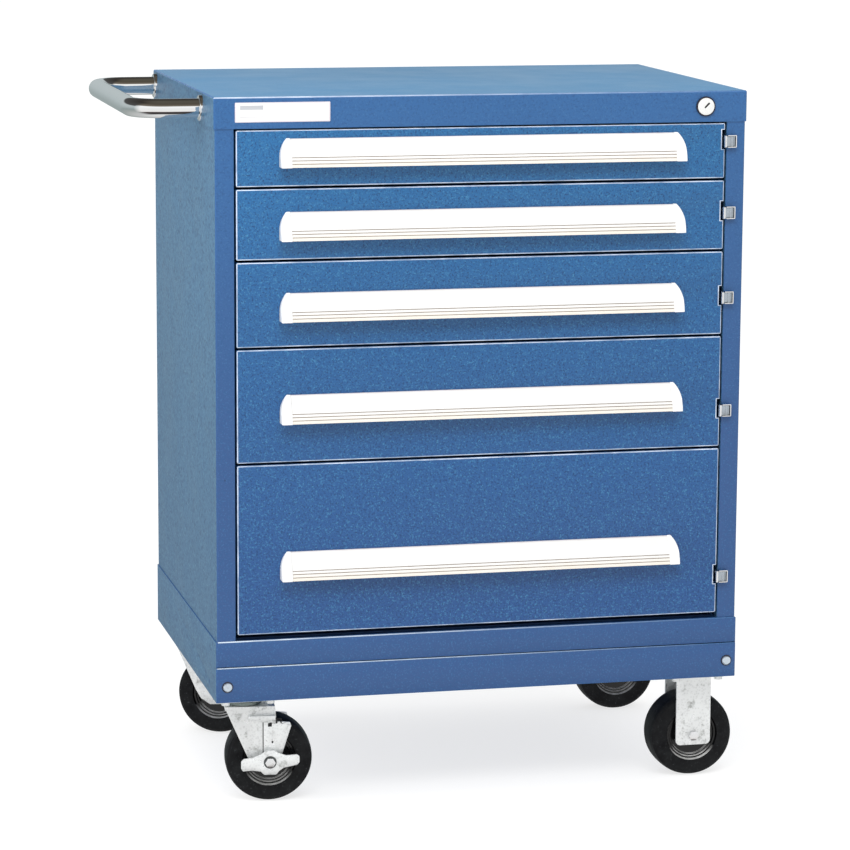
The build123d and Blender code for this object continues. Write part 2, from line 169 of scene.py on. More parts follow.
# ------------------------------------------------------------------- materials
def material(name, color, rough, metal=0.0, coat=0.0, coat_rough=0.05, specular=0.5):
    m = D2.materials.new(name)
    m.use_nodes = True
    nt = m.node_tree
    b = nt.nodes["Principled BSDF"]
    b.inputs["Base Color"].default_value = (*color, 1)
    b.inputs["Roughness"].default_value = rough
    b.inputs["Metallic"].default_value = metal
    b.inputs["Coat Weight"].default_value = coat
    b.inputs["Coat Roughness"].default_value = coat_rough
    b.inputs["Specular IOR Level"].default_value = specular
    return m, nt, b


def coords(nt):
    return nt.nodes.new("ShaderNodeTexCoord").outputs["Object"]


def noise(nt, vec, scale, detail=3.0, rough=0.5, distortion=0.0):
    n = nt.nodes.new("ShaderNodeTexNoise")
    n.inputs["Scale"].default_value = scale
    n.inputs["Detail"].default_value = detail
    n.inputs["Roughness"].default_value = rough
    n.inputs["Distortion"].default_value = distortion
    nt.links.new(vec, n.inputs["Vector"])
    return n.outputs["Fac"]


def ramp(nt, fac, stops):
    r = nt.nodes.new("ShaderNodeValToRGB")
    r.color_ramp.elements[0].position = stops[0][0]
    r.color_ramp.elements[0].color = (*stops[0][1], 1)
    r.color_ramp.elements[1].position = stops[-1][0]
    r.color_ramp.elements[1].color = (*stops[-1][1], 1)
    for p, c in stops[1:-1]:
        e = r.color_ramp.elements.new(p)
        e.color = (*c, 1)
    nt.links.new(fac, r.inputs["Fac"])
    return r.outputs["Color"]


def mix_color(nt, fac, a, b, mode="MIX"):
    m = nt.nodes.new("ShaderNodeMix")
    m.data_type = "RGBA"
    m.blend_type = mode
    for sock, v in (("Factor", fac), ("A", a), ("B", b)):
        s = [i for i in m.inputs if i.name == sock and i.type == ("VALUE" if sock == "Factor" else "RGBA")][0]
        if hasattr(v, "is_linked"):
            nt.links.new(v, s)
        elif sock == "Factor":
            s.default_value = v
        else:
            s.default_value = (*v, 1)
    return [o for o in m.outputs if o.type == "RGBA"][0]


def map_range(nt, fac, a, b, lo, hi):
    m = nt.nodes.new("ShaderNodeMapRange")
    m.inputs["From Min"].default_value = a
    m.inputs["From Max"].default_value = b
    m.inputs["To Min"].default_value = lo
    m.inputs["To Max"].default_value = hi
    nt.links.new(fac, m.inputs["Value"])
    return m.outputs["Result"]


def bump(nt, height, strength, distance, b, prev=None):
    n = nt.nodes.new("ShaderNodeBump")
    n.inputs["Strength"].default_value = strength
    n.inputs["Distance"].default_value = distance
    nt.links.new(height, n.inputs["Height"])
    if prev is not None:
        nt.links.new(prev, n.inputs["Normal"])
    nt.links.new(n.outputs["Normal"], b.inputs["Normal"])
    return n.outputs["Normal"]


def geometry_normal(nt):
    g = nt.nodes.new("ShaderNodeNewGeometry")
    sp = nt.nodes.new("ShaderNodeSeparateXYZ")
    nt.links.new(g.outputs["Normal"], sp.inputs["Vector"])
    return sp


def split(nt, vec):
    sp = nt.nodes.new("ShaderNodeSeparateXYZ")
    nt.links.new(vec, sp.inputs["Vector"])
    return sp


def math_node(nt, op, a, b):
    m = nt.nodes.new("ShaderNodeMath")
    m.operation = op
    for i, v in enumerate((a, b)):
        if hasattr(v, "is_linked"):
            nt.links.new(v, m.inputs[i])
        else:
            m.inputs[i].default_value = v
    return m.outputs[0]


def scaled(color, k):
    return tuple(min(1.0, c * k) for c in color)


def enamel(name, color, speck=0.35, rough=0.34, coat=0.0, grain=330.0, specular=0.5, painted_falloff=0.0,
           shaded_tint=(1.10, 0.68, 0.76), falloff_z=(0.50, 0.98)):
    """Stoved enamel on sheet steel: slight shade drift, fine mottle, orange peel."""
    m, nt, b = material(name, color, rough, coat=coat, coat_rough=0.16, specular=specular)
    v = coords(nt)
    drift = noise(nt, v, 2.2, 3.0)
    base = ramp(nt, drift, [(0.35, scaled(color, 0.93)), (0.65, scaled(color, 1.06))])
    if painted_falloff:
        # painted shade: the colour grows deeper and more violet toward the floor, for the light that falls off low
        # down
        low = map_range(nt, split(nt, v).outputs["Z"], *falloff_z, painted_falloff, 0.0)
        base = mix_color(nt, low, base, (color[0] * shaded_tint[0], color[1] * shaded_tint[1], color[2] * shaded_tint[2]))
    fine = noise(nt, v, grain, 3.0, 0.62)
    spots = map_range(nt, fine, 0.50, 0.66, 0.0, 1.0)
    col = mix_color(nt, spots, base, (color[0] * (1 - speck), color[1] * (1 - speck), color[2] * (1 - 0.8 * speck)))
    fine2 = noise(nt, v, grain * 1.22, 3.0, 0.62)
    light = (color[0] * (1 + 1.2 * speck) + 0.05 * speck, color[1] * (1 + 1.0 * speck) + 0.05 * speck,
             color[2] * (1 + 0.6 * speck))
    col = mix_color(nt, map_range(nt, fine2, 0.55, 0.70, 0.0, 0.85), col, light)
    # rare pin-prick chips
    vo = nt.nodes.new("ShaderNodeTexVoronoi")
    vo.inputs["Scale"].default_value = 17.0
    nt.links.new(v, vo.inputs["Vector"])
    chip = map_range(nt, vo.outputs["Distance"], 0.016, 0.030, 0.55, 0.0)
    col = mix_color(nt, chip, col, scaled(color, 0.25))
    nt.links.new(col, b.inputs["Base Color"])
    smear = noise(nt, v, 9.0, 4.0, 0.6)
    nt.links.new(map_range(nt, smear, 0.3, 0.7, rough - 0.05, rough + 0.07), b.inputs["Roughness"])
    peel = noise(nt, v, 240.0, 2.0)
    n1 = bump(nt, peel, 0.16, 0.0006, b)
    wave = noise(nt, v, 4.0, 1.0)
    bump(nt, wave, 0.05, 0.003, b, n1)
    return m


def edge_enamel(name, dull, bright, fade=True, hi=0.9):
    """Painted highlight on enamel over a fold: edges that face up and forward are painted light."""
    m, nt, b = material(name, bright, 0.25)
    v = coords(nt)
    n = geometry_normal(nt)
    up = map_range(nt, n.outputs["Z"], 0.10, 0.45, 0.0, 1.0)
    fwd = map_range(nt, n.outputs["Y"], -0.05, -0.40, 0.0, 1.0)
    fac = math_node(nt, "MULTIPLY", up, fwd)
    # the painted highlight fades toward the right
    if fade:
        fac = math_node(nt, "MULTIPLY", fac,
                        map_range(nt, split(nt, v).outputs["X"], -0.36, 0.42, 1.0, 0.08))
    highlight_breakup = map_range(nt, noise(nt, v, 26.0, 4.0, 0.65), 0.30, 0.62, 0.55, 1.0)
    fac = math_node(nt, "MULTIPLY", fac, highlight_breakup)
    fac = math_node(nt, "MULTIPLY", fac, hi)
    nt.links.new(mix_color(nt, fac, dull, bright), b.inputs["Base Color"])
    nt.links.new(map_range(nt, noise(nt, v, 40.0, 3.0), 0.3, 0.7, 0.20, 0.34), b.inputs["Roughness"])
    bump(nt, noise(nt, v, 300.0, 2.0), 0.08, 0.0004, b)
    return m


FRAME = (0.024, 0.109, 0.287)
DRAWER = (0.0145, 0.127, 0.315)
MAT = {}
# the frame, side and drawer enamels are painted darker toward the floor as painted shade
MAT["frame"] = enamel("frame_enamel_paint", FRAME, speck=0.24, rough=0.33, painted_falloff=0.95, shaded_tint=(1.05, 0.72, 0.78))
# painted light: the lid top is a lighter copy of the frame enamel, for the light falling on it from above
MAT["lid_top"] = enamel("lid_top_painted_light", (0.088, 0.252, 0.455), speck=0.16, rough=0.36)
# painted sheen: the side enamel is a paler, greyer copy of the frame enamel, standing in for the reflection on the
# sides
MAT["side"] = enamel("side_enamel_painted_sheen", (0.068, 0.168, 0.288), speck=0.60, rough=0.46, grain=200.0,
                     painted_falloff=1.0, shaded_tint=(0.90, 0.85, 0.87), falloff_z=(0.25, 0.85))
MAT["drawer"] = enamel("drawer_enamel_paint", DRAWER, speck=0.64, rough=0.36, painted_falloff=1.0, grain=370.0, shaded_tint=(1.08, 0.62, 0.79), falloff_z=(0.30, 0.97))
MAT["frame_edge"] = edge_enamel("frame_edge_painted_highlight", scaled(FRAME, 1.15), (0.74, 0.82, 0.92))


def drawer_edge():
    """The rolled rim of a drawer face, with a painted highlight on the faces that look forward."""
    m, nt, b = material("drawer_edge_enamel", (0.55, 0.64, 0.80), 0.24)
    v = coords(nt)
    highlight_breakup = map_range(nt, noise(nt, v, 30.0, 4.0, 0.65), 0.34, 0.60, 0.40, 1.0)
    n = geometry_normal(nt)
    out = map_range(nt, n.outputs["Y"], -0.15, -0.50, 0.0, 1.0)
    fac = math_node(nt, "MULTIPLY", highlight_breakup, out)
    nt.links.new(mix_color(nt, fac, scaled(DRAWER, 0.8), (0.66, 0.74, 0.88)), b.inputs["Base Color"])
    nt.links.new(map_range(nt, noise(nt, v, 50.0, 3.0), 0.3, 0.7, 0.18, 0.34), b.inputs["Roughness"])
    bump(nt, noise(nt, v, 300.0, 2.0), 0.08, 0.0004, b)
    return m


MAT["drawer_edge"] = drawer_edge()


def bead_material():
    """A rolled top edge with a painted highlight, fading toward the right."""
    m, nt, b = material("bead_painted_highlight", (0.74, 0.82, 0.92), 0.24)
    v = coords(nt)
    along = map_range(nt, split(nt, v).outputs["X"], -0.36, 0.40, 0.95, 0.05)
    highlight_breakup = map_range(nt, noise(nt, v, 24.0, 4.0, 0.65), 0.30, 0.60, 0.55, 1.0)
    nt.links.new(mix_color(nt, math_node(nt, "MULTIPLY", along, highlight_breakup), FRAME, (0.72, 0.82, 0.92)),
                 b.inputs["Base Color"])
    nt.links.new(map_range(nt, noise(nt, v, 40.0, 3.0), 0.3, 0.7, 0.18, 0.32), b.inputs["Roughness"])
    bump(nt, noise(nt, v, 300.0, 2.0), 0.06, 0.0003, b)
    return m


MAT["bead"] = bead_material()


def plastic(name, color, rough, grain=900.0, strength=0.05, low=None):
    """Smooth coloured moulding; low is the tint it takes toward the lower edge."""
    m, nt, b = material(name, color, rough)
    v = coords(nt)
    tone = noise(nt, v, 14.0, 3.0)
    col = ramp(nt, tone, [(0.3, scaled(color, 0.965)), (0.7, color)])
    if low:
        g = nt.nodes.new("ShaderNodeTexCoord").outputs["Generated"]
        z = split(nt, g).outputs["Z"]
        tint_breakup = map_range(nt, noise(nt, v, 45.0, 4.0, 0.6), 0.35, 0.65, 0.6, 1.0)
        fac = math_node(nt, "MULTIPLY", map_range(nt, z, 0.34, 0.02, 0.0, 0.8), tint_breakup)
        col = mix_color(nt, fac, col, low)
        # painted shadow: a dark line along the top edge, where the pull meets the drawer face
        fac = math_node(nt, "MULTIPLY", map_range(nt, z, 0.955, 1.0, 0.0, 0.6), tint_breakup)
        col = mix_color(nt, fac, col, (0.50, 0.42, 0.46))
    nt.links.new(col, b.inputs["Base Color"])
    nt.links.new(map_range(nt, noise(nt, v, 30.0, 3.0), 0.3, 0.7, rough - 0.06, rough + 0.08),
                 b.inputs["Roughness"])
    bump(nt, noise(nt, v, grain, 2.0), strength, 0.0003, b)
    return m


MAT["pull"] = plastic("pull_white_extrusion", (0.825, 0.822, 0.806), 0.38, low=(0.80, 0.73, 0.62))
# painted shade: the grooves of a pull are a darker warm grey
MAT["groove"] = plastic("pull_groove_painted_shade", (0.40, 0.32, 0.26), 0.55)
MAT["cap"] = plastic("cap_white_moulding", (0.90, 0.90, 0.895), 0.32, 500.0, 0.08)
MAT["bezel"] = plastic("bezel_dark_moulding", (0.014, 0.015, 0.030), 0.35)
MAT["black"] = plastic("key_slot_black", (0.008, 0.008, 0.009), 0.6)
# painted shade: parts inside the cabinet take a darker copy of the enamel
MAT["dark"] = enamel("inside_enamel_painted_shade", (0.020, 0.075, 0.21), speck=0.10, rough=0.5)


def label_material():
    """Blank white label plate with a faint grey rule round it and no lettering."""
    m, nt, b = material("label_blank_white", (0.88, 0.88, 0.87), 0.35)
    v = coords(nt)
    tone = ramp(nt, noise(nt, v, 22.0, 3.0), [(0.3, (0.86, 0.85, 0.85)), (0.7, (0.92, 0.91, 0.91))])
    g = split(nt, nt.nodes.new("ShaderNodeTexCoord").outputs["Generated"])
    # one rule near the rim
    dx = math_node(nt, "ABSOLUTE", math_node(nt, "SUBTRACT", g.outputs["X"], 0.5), 0.0)
    dz = math_node(nt, "ABSOLUTE", math_node(nt, "SUBTRACT", g.outputs["Z"], 0.5), 0.0)
    rim = math_node(nt, "MAXIMUM", map_range(nt, dx, 0.484, 0.488, 0.0, 1.0), map_range(nt, dz, 0.43, 0.45, 0.0, 1.0))
    col = mix_color(nt, math_node(nt, "MULTIPLY", rim, 0.45), tone, (0.52, 0.42, 0.50))

    def band(x0, x1, z0, z1, tint, amount):
        # a plain ruled bar, soft at its ends
        inx = math_node(nt, "MULTIPLY", map_range(nt, g.outputs["X"], x0, x0 + 0.006, 0.0, 1.0),
                        map_range(nt, g.outputs["X"], x1, x1 - 0.006, 0.0, 1.0))
        inz = math_node(nt, "MULTIPLY", map_range(nt, g.outputs["Z"], z0, z0 + 0.02, 0.0, 1.0),
                        map_range(nt, g.outputs["Z"], z1, z1 - 0.02, 0.0, 1.0))
        f = math_node(nt, "MULTIPLY", math_node(nt, "MULTIPLY", inx, inz), amount)
        return mix_color(nt, f, col, tint)

    col = band(0.05, 0.30, 0.62, 0.86, (0.34, 0.36, 0.40), 0.75)
    col = band(0.05, 0.30, 0.24, 0.30, (0.30, 0.30, 0.33), 0.55)
    col = band(0.46, 0.70, 0.70, 0.75, (0.50, 0.50, 0.53), 0.40)
    col = band(0.46, 0.93, 0.30, 0.34, (0.55, 0.55, 0.58), 0.35)
    nt.links.new(col, b.inputs["Base Color"])
    nt.links.new(map_range(nt, noise(nt, v, 60.0, 3.0), 0.3, 0.7, 0.30, 0.42), b.inputs["Roughness"])
    bump(nt, noise(nt, v, 700.0, 2.0), 0.04, 0.0002, b)
    return m


MAT["label"] = label_material()


def metal(name, color, rough, spangle=0.0, scratch=0.0, stain=0.0, bumpy=0.03, metallic=1.0):
    m, nt, b = material(name, color, rough, metal=metallic)
    v = coords(nt)
    drift = noise(nt, v, 25.0, 4.0, 0.6)
    col = ramp(nt, drift, [(0.3, scaled(color, 0.86 if spangle else 0.97)), (0.7, color)])
    if spangle:
        vo = nt.nodes.new("ShaderNodeTexVoronoi")
        vo.inputs["Scale"].default_value = 260.0
        nt.links.new(v, vo.inputs["Vector"])
        sp = ramp(nt, vo.outputs["Distance"], [(0.0, scaled(color, 0.72)), (0.5, color)])
        col = mix_color(nt, spangle, col, sp)
    if stain:
        blot = noise(nt, v, 70.0, 6.0, 0.7)
        col = mix_color(nt, map_range(nt, blot, 0.56, 0.68, 0.0, stain), col, (0.30, 0.31, 0.29))
    nt.links.new(col, b.inputs["Base Color"])
    rr = noise(nt, v, 70.0, 4.0, 0.65)
    nt.links.new(map_range(nt, rr, 0.3, 0.7, max(0.02, rough - 0.5 * rough), rough + 0.4 * rough),
                 b.inputs["Roughness"])
    if scratch:
        mp = nt.nodes.new("ShaderNodeMapping")
        mp.inputs["Scale"].default_value = (1.0, 1.0, 30.0)
        nt.links.new(v, mp.inputs["Vector"])
        bump(nt, noise(nt, mp.outputs["Vector"], 60.0, 3.0), scratch, 0.0003, b)
    else:
        bump(nt, noise(nt, v, 180.0, 3.0), bumpy, 0.0004, b)
    return m


MAT["chrome"] = metal("chrome_polished", (0.90, 0.91, 0.91), 0.035, bumpy=0.02)
MAT["zinc"] = metal("zinc_plate_dull", (0.88, 0.90, 0.90), 0.44, spangle=0.60, stain=0.65, bumpy=0.16, metallic=0.60)
MAT["zinc_dark"] = metal("zinc_shadowed_edge", (0.10, 0.11, 0.11), 0.50, spangle=0.4, stain=0.3, metallic=0.6)
# painted shade: the race under a swivel plate is a dark steel
MAT["race_shade"] = metal("race_painted_shade_steel", (0.20, 0.24, 0.23), 0.38, stain=0.7, bumpy=0.10, metallic=0.7)
MAT["latch_pad"] = metal("latch_pad_steel", (0.42, 0.47, 0.52), 0.30, stain=0.5, metallic=0.8)
MAT["bright"] = metal("bright_plate", (0.86, 0.87, 0.88), 0.20, stain=0.3)
MAT["slide"] = metal("slide_zinc", (0.72, 0.73, 0.74), 0.30, spangle=0.3)
MAT["bolt"] = metal("bolt_bright_plate", (0.62, 0.70, 0.78), 0.28, stain=0.25, metallic=0.8)
MAT["lockface"] = metal("lock_face_nickel", (0.90, 0.91, 0.89), 0.35, metallic=0.45)


def wheel_material(name, lo, hi, rough, dust_at=0.5, grain=0.25, specular=0.5, upward_highlight=0.0):
    """Moulded black rubber: dusty charcoal, scuffed in specks, fine mould grain; faces that look up can carry a
    painted highlight.
    """
    m, nt, b = material(name, lo, rough, specular=specular)
    v = coords(nt)
    dust = noise(nt, v, 60.0, 6.0, 0.70)
    col = ramp(nt, dust, [(0.30, lo), (dust_at + 0.2, hi)])
    scuff = noise(nt, v, 240.0, 5.0, 0.75)
    col = mix_color(nt, map_range(nt, scuff, 0.60, 0.72, 0.0, 0.7), col, scaled(hi, 6.0))
    if upward_highlight:
        # painted highlight: faces that look up are painted pale, for the light they catch
        n = geometry_normal(nt)
        up = map_range(nt, n.outputs["Z"], 0.40, 0.62, 0.0, upward_highlight)
        highlight_grain = map_range(nt, noise(nt, v, 90.0, 4.0, 0.6), 0.30, 0.60, 0.5, 1.0)
        col = mix_color(nt, math_node(nt, "MULTIPLY", up, highlight_grain), col, (0.62, 0.62, 0.61))
    nt.links.new(col, b.inputs["Base Color"])
    nt.links.new(map_range(nt, noise(nt, v, 35.0, 4.0), 0.3, 0.7, rough - 0.10, rough + 0.10),
                 b.inputs["Roughness"])
    bump(nt, noise(nt, v, 420.0, 4.0, 0.65), grain, 0.0005, b)
    return m


MAT["wheel"] = wheel_material("wheel_black_rubber", (0.004, 0.004, 0.005), (0.014, 0.015, 0.016), 0.52, specular=0.11)
MAT["hub"] = wheel_material("wheel_hub_gloss", (0.002, 0.002, 0.002), (0.005, 0.005, 0.006), 0.20, grain=0.08, specular=0.40, upward_highlight=0.85)


def paint(ob, *keys):
    ob.data.materials.clear()
    for k in keys:
        ob.data.materials.append(MAT[k])
    for p in ob.data.polygons:
        p.material_index = 0


def repaint(ob, index, test):
    """Gives slot index to the faces whose middle and normal pass the test."""
    for p in ob.data.polygons:
        if test(p.center, p.normal):
            p.material_index = index


# ---------------------------------------------------- CAD nodes that stay shown
KEEP = {
    "back_panel": ["side"], "bottom_deck": ["dark"], "slide_posts": ["dark"],
    "fixed_channels": ["slide"], "lock_bar": ["slide"], "swivel_caster_plates": ["zinc", "race_shade"],
    "rigid_caster_axles": ["bright"], "fasteners": ["zinc", "bolt"], "base_frame": ["frame", "frame_edge", "side"],
    "kick_plate": ["frame", "frame_edge"], "top_cover": ["frame", "frame_edge", "side", "lid_top"],
    "side_panel_left": ["frame", "frame", "side"], "side_panel_right": ["frame", "frame", "side"],
    "latch_brackets": ["bright"], "lock_housing": ["bezel"],
    "lock_plug": ["lockface", "black"], "nameplate": ["label"], "handle_tube": ["chrome"],
    "handle_flanges": ["chrome"], "rigid_caster_forks": ["zinc"],
}
for n in range(1, 6):
    KEEP["carriage_%d" % n] = ["slide"]
    KEEP["drawer_%d_pan" % n] = ["drawer"]
    KEEP["drawer_%d_front" % n] = ["drawer", "drawer_edge"]
    KEEP["drawer_%d_handle" % n] = ["pull", "groove"]
    KEEP["drawer_%d_handle_caps" % n] = ["cap"]
    KEEP["latch_%d" % n] = ["bright", "latch_pad"]
for e in ("front", "rear"):
    KEEP["swivel_fork_" + e] = ["zinc", "zinc_dark"]
    KEEP["swivel_axle_" + e] = ["bright"]
    KEEP["brake_lever_" + e] = ["zinc"]
    KEEP["wheel_left_" + e] = ["wheel", "hub"]
    KEEP["wheel_right_" + e] = ["wheel", "hub"]

# new bevel faces on the kick plate, base frame and drawer fronts take slot 1, their painted edge highlight
ROUND = {"kick_plate": (0.0012, 1), "base_frame": (0.0012, 1), "latch_brackets": (0.0004, 0),
         "lock_plug": (0.0003, 0), "nameplate": (0.0003, 0), "rigid_caster_axles": (0.0006, 0),
         "lock_housing": (0.0003, 0)}
for n in range(1, 6):
    ROUND["drawer_%d_front" % n] = (0.0006, 1)
    ROUND["drawer_%d_handle_caps" % n] = (0.0013, 0)
    ROUND["latch_%d" % n] = (0.0003, 0)
for e in ("front", "rear"):
    ROUND["swivel_fork_" + e] = (0.0007, 0)
    ROUND["brake_lever_" + e] = (0.0008, 0)
    ROUND["swivel_axle_" + e] = (0.0006, 0)


def soften(ob, width=0.0, slot=0, angle=30.0):
    """Welds the node's split corners, rounds its sharp edges and shades it."""
    ob.data.polygons.foreach_set("use_smooth", [True] * len(ob.data.polygons))
    w = ob.modifiers.new("weld", "WELD")
    w.merge_threshold = 0.00002
    if width > 0:
        d = ob.modifiers.new("flat", "DECIMATE")
        d.decimate_type = "DISSOLVE"
        d.angle_limit = math.radians(0.6)
        d.delimit = {"MATERIAL"}
        b = ob.modifiers.new("bevel", "BEVEL")
        b.width = width
        b.segments = 2
        b.limit_method = "ANGLE"
        b.angle_limit = math.radians(angle)
        b.harden_normals = False
        b.material = slot if slot else -1
    s = ob.modifiers.new("split", "EDGE_SPLIT")
    s.split_angle = math.radians(angle)


for node, keys in KEEP.items():
    ob = frame["nodes"][node]
    paint(ob, *keys)
    width, slot = ROUND.get(node, (0.0, 0))
    soften(ob, width, slot)


def slanted(normal, limit=0.985):
    return max(abs(c) for c in normal) < limit


nodes = frame["nodes"]
lid_lo, lid_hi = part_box("top_cover")
# painted highlight on the lid's rounded top edges
repaint(nodes["top_cover"], 1, lambda c, n: slanted(n) and c.z > lid_hi[2] - 0.0026)
# painted light: the flat top of the lid takes the lighter lid-top enamel
repaint(nodes["top_cover"], 3, lambda c, n: n.z > 0.99 and c.z > lid_hi[2] - 0.001)
def outer_side(c, n):
    # the left, right and back faces that carry the same enamel as the panels, with its painted sheen
    return ((n.x < -0.9 and c.x < lid_lo[0] + 0.001) or (n.x > 0.9 and c.x > lid_hi[0] - 0.001)
            or (n.y > 0.9 and c.y > lid_hi[1] - 0.001))


repaint(nodes["top_cover"], 2, outer_side)
repaint(nodes["base_frame"], 2, outer_side)
for side in ("left", "right"):
    lo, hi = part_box("side_panel_" + side)
    repaint(nodes["side_panel_" + side], 2, lambda c, n: abs(n.x) > 0.9 and (c.x < lo[0] + 0.001 or c.x > hi[0] - 0.001))
for n in range(1, 6):
    lo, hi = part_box("drawer_%d_front" % n)
    # painted highlight: the rolled rim of each drawer face takes the drawer rim enamel
    repaint(nodes["drawer_%d_front" % n], 1, lambda c, nn: slanted(nn) and c.y < lo[1] + 0.0026 and nn.y < -0.1)
    lo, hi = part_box("drawer_%d_handle" % n)
    h = hi[2] - lo[2]

    # painted shade: faces in a pull's three grooves take the darker groove slot
    def in_groove(c, nn):
        f = (c.z - lo[2]) / h
        return any(abs(f - g) < 0.014 for g in (0.349, 0.240, 0.120)) and c.y < hi[1] - 0.010

    repaint(nodes["drawer_%d_handle" % n], 1, in_groove)

    # the pad of a latch is duller than its lip
    lo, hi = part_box("latch_%d" % n)
    repaint(nodes["latch_%d" % n], 1, lambda c, nn: c.x > lo[0] + 0.0032)
plate_lo, plate_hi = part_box("swivel_caster_plates")
# painted shade on the race faces under each swivel plate
repaint(nodes["swivel_caster_plates"], 1, lambda c, n: c.z < plate_hi[2] - 0.0041)
front_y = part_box("kick_plate")[0][1]
repaint(nodes["fasteners"], 1, lambda c, n: c.y < front_y + 0.0005)

# faces of a wheel inside its rim are the glossy hub recess
joints = {j["name"]: j for j in frame["record"]["behaviour"]["joints"]}
for side in ("left", "right"):
    for e in ("front", "rear"):
        node = "wheel_%s_%s" % (side, e)
        lo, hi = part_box(node)
        mid_w = (Vector(lo) + Vector(hi)) / 2
        axis = Vector(joints["wheel_%s_%s_spin" % (side, e)]["axis"])

        def in_hub(c, nn):
            d = c - mid_w
            return (d - axis * d.dot(axis)).length < 0.0385
        repaint(nodes[node], 1, in_hub)

# the blade slot of the lock, a little right of and above the middle: a black box, painted shade for the dark inside
# of the slot
plo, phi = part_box("lock_plug")
mid_l = Vector(((plo[0] + phi[0]) / 2, 0, (plo[2] + phi[2]) / 2))
hlo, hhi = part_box("lock_housing")
mid_l = Vector(((hlo[0] + hhi[0]) / 2, plo[1], (hlo[2] + hhi[2]) / 2))
bm = bmesh.new()
add_box(bm, (-0.0045, -0.00012, -0.00125), (0.0045, 0.0004, 0.00125), 0.00010, 2)
for vtx in bm.verts:
    p = vtx.co.copy()
    ca = math.cos(math.radians(45))
    vtx.co = Vector((p.x * ca - p.z * ca, p.y, p.x * ca + p.z * ca)) + mid_l + Vector((0.0016, 0.0, 0.0017))
slot_piece = new_object("key_slot", bm)
slot_piece.data.materials.append(MAT["black"])
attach(slot_piece, "plug")

def ride_piece(name, bm, mat, body, smooth=35.0):
    ob = new_object(name, bm, smooth)
    ob.data.materials.append(MAT[mat])
    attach(ob, body)
    return ob


# rolled top edges of the kick plate and of the base rail, as beads with a painted highlight
k_lo, k_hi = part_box("kick_plate")
b_lo, b_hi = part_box("base_frame")
bm = bmesh.new()
add_box(bm, (k_lo[0] + 0.0016, k_lo[1] - 0.0004, k_hi[2] - 0.0010),
        (k_hi[0] - 0.0016, k_lo[1] + 0.0014, k_hi[2] + 0.0005), 0.0006, 3)
ride_piece("kick_plate_highlight_bead", bm, "bead", "cabinet")
bm = bmesh.new()
add_box(bm, (b_lo[0] + 0.0024, b_lo[1] - 0.0003, b_hi[2] - 0.0006),
        (b_hi[0] - 0.0024, b_lo[1] + 0.0014, b_hi[2] + 0.0012), 0.0006, 3)
ride_piece("base_rail_highlight_bead", bm, "bead", "cabinet")

# the hemmed rim of the latch notch in each drawer face, with the painted highlight of the drawer rims
for n in range(1, 6):
    d_lo, d_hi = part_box("drawer_%d_front" % n)
    l_lo, l_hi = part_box("latch_%d" % n)
    lz = (l_lo[2] + l_hi[2]) / 2
    nx = d_hi[0] - 0.0047
    bm = bmesh.new()
    add_box(bm, (nx - 0.0015, d_lo[1] - 0.0003, lz - 0.0122), (nx + 0.0001, d_lo[1] + 0.0010, lz + 0.0170),
            0.0004, 2)
    add_box(bm, (nx - 0.0010, d_lo[1] - 0.0003, lz + 0.0160), (d_hi[0] - 0.0006, d_lo[1] + 0.0010, lz + 0.0172),
            0.0004, 2)
    add_box(bm, (nx - 0.0010, d_lo[1] - 0.0003, lz - 0.0126), (d_hi[0] - 0.0006, d_lo[1] + 0.0010, lz - 0.0114),
            0.0004, 2)
    ride_piece("drawer_%d_notch_hem" % n, bm, "drawer_edge", "drawer_%d" % n)

# caster details: seam, notch and spring clip on each swivel fork, the notch a black
# block of painted shade, and a dark ring of painted shadow under each brake lever's nut
for e, sy in (("front", -1.0), ("rear", 1.0)):
    jw = joints["wheel_left_%s_spin" % e]
    js = joints["swivel_%s_turn" % e]
    hub = Vector(jw["pos_m"])
    stem = Vector(js["pos_m"])
    ay = Vector(jw["axis"]).normalized()
    ax_ = Vector((ay.y, -ay.x, 0))
    f_lo, f_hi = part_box("swivel_fork_" + e)
    top = f_hi[2] + 0.017

    def place(bm):
        # local x runs from stem to hub, local y along the axle, z is height
        for vtx in bm.verts:
            p = vtx.co.copy()
            vtx.co = Vector((hub.x, hub.y, 0)) + ax_ * p.x + ay * p.y + Vector((0, 0, p.z))

    def span(a, c):
        return (min(a, c), max(a, c))
    q = top - 0.040
    bm = bmesh.new()
    y0, y1 = span(sy * 0.0290, sy * 0.0315)
    add_box(bm, (-0.0098, y0, hub.z + 0.010), (-0.0086, y1, q), 0.0003, 2)
    # painted shade: a black block stands in for the dark inside of the notch
    add_box(bm, (-0.0025, y0, q - 0.0062), (0.0032, y1 + 0.0003 * (sy > 0), q - 0.0008), 0.0004, 2)
    y0, y1 = span(sy * 0.0285, sy * 0.0325)
    add_box(bm, (0.0088, y0, q - 0.0015), (0.0108, y1, q + 0.0058), 0.0006, 2)
    add_box(bm, (0.0088, y0, q + 0.0040), (0.0170, y1, q + 0.0060), 0.0006, 2)
    add_box(bm, (0.0155, y0, q - 0.0015), (0.0172, y1, q + 0.0052), 0.0006, 2)
    place(bm)
    ride_piece("fork_clip_" + e, bm, "black", "fork_" + e)

    lv_lo, lv_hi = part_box("brake_lever_" + e)
    # painted shadow: a dark ring round the nut
    bm = bmesh.new()
    yo = sy * 0.0402
    lathe(bm, [(0.0066, yo - sy * 0.0004), (0.0088, yo - sy * 0.0004), (0.0092, yo), (0.0088, yo + sy * 0.0004),
               (0.0066, yo + sy * 0.0004)], (0, 0, hub.z), "Y", 48)
    place(bm)
    ride_piece("lever_ring_" + e, bm, "zinc_dark", "lever_" + e)

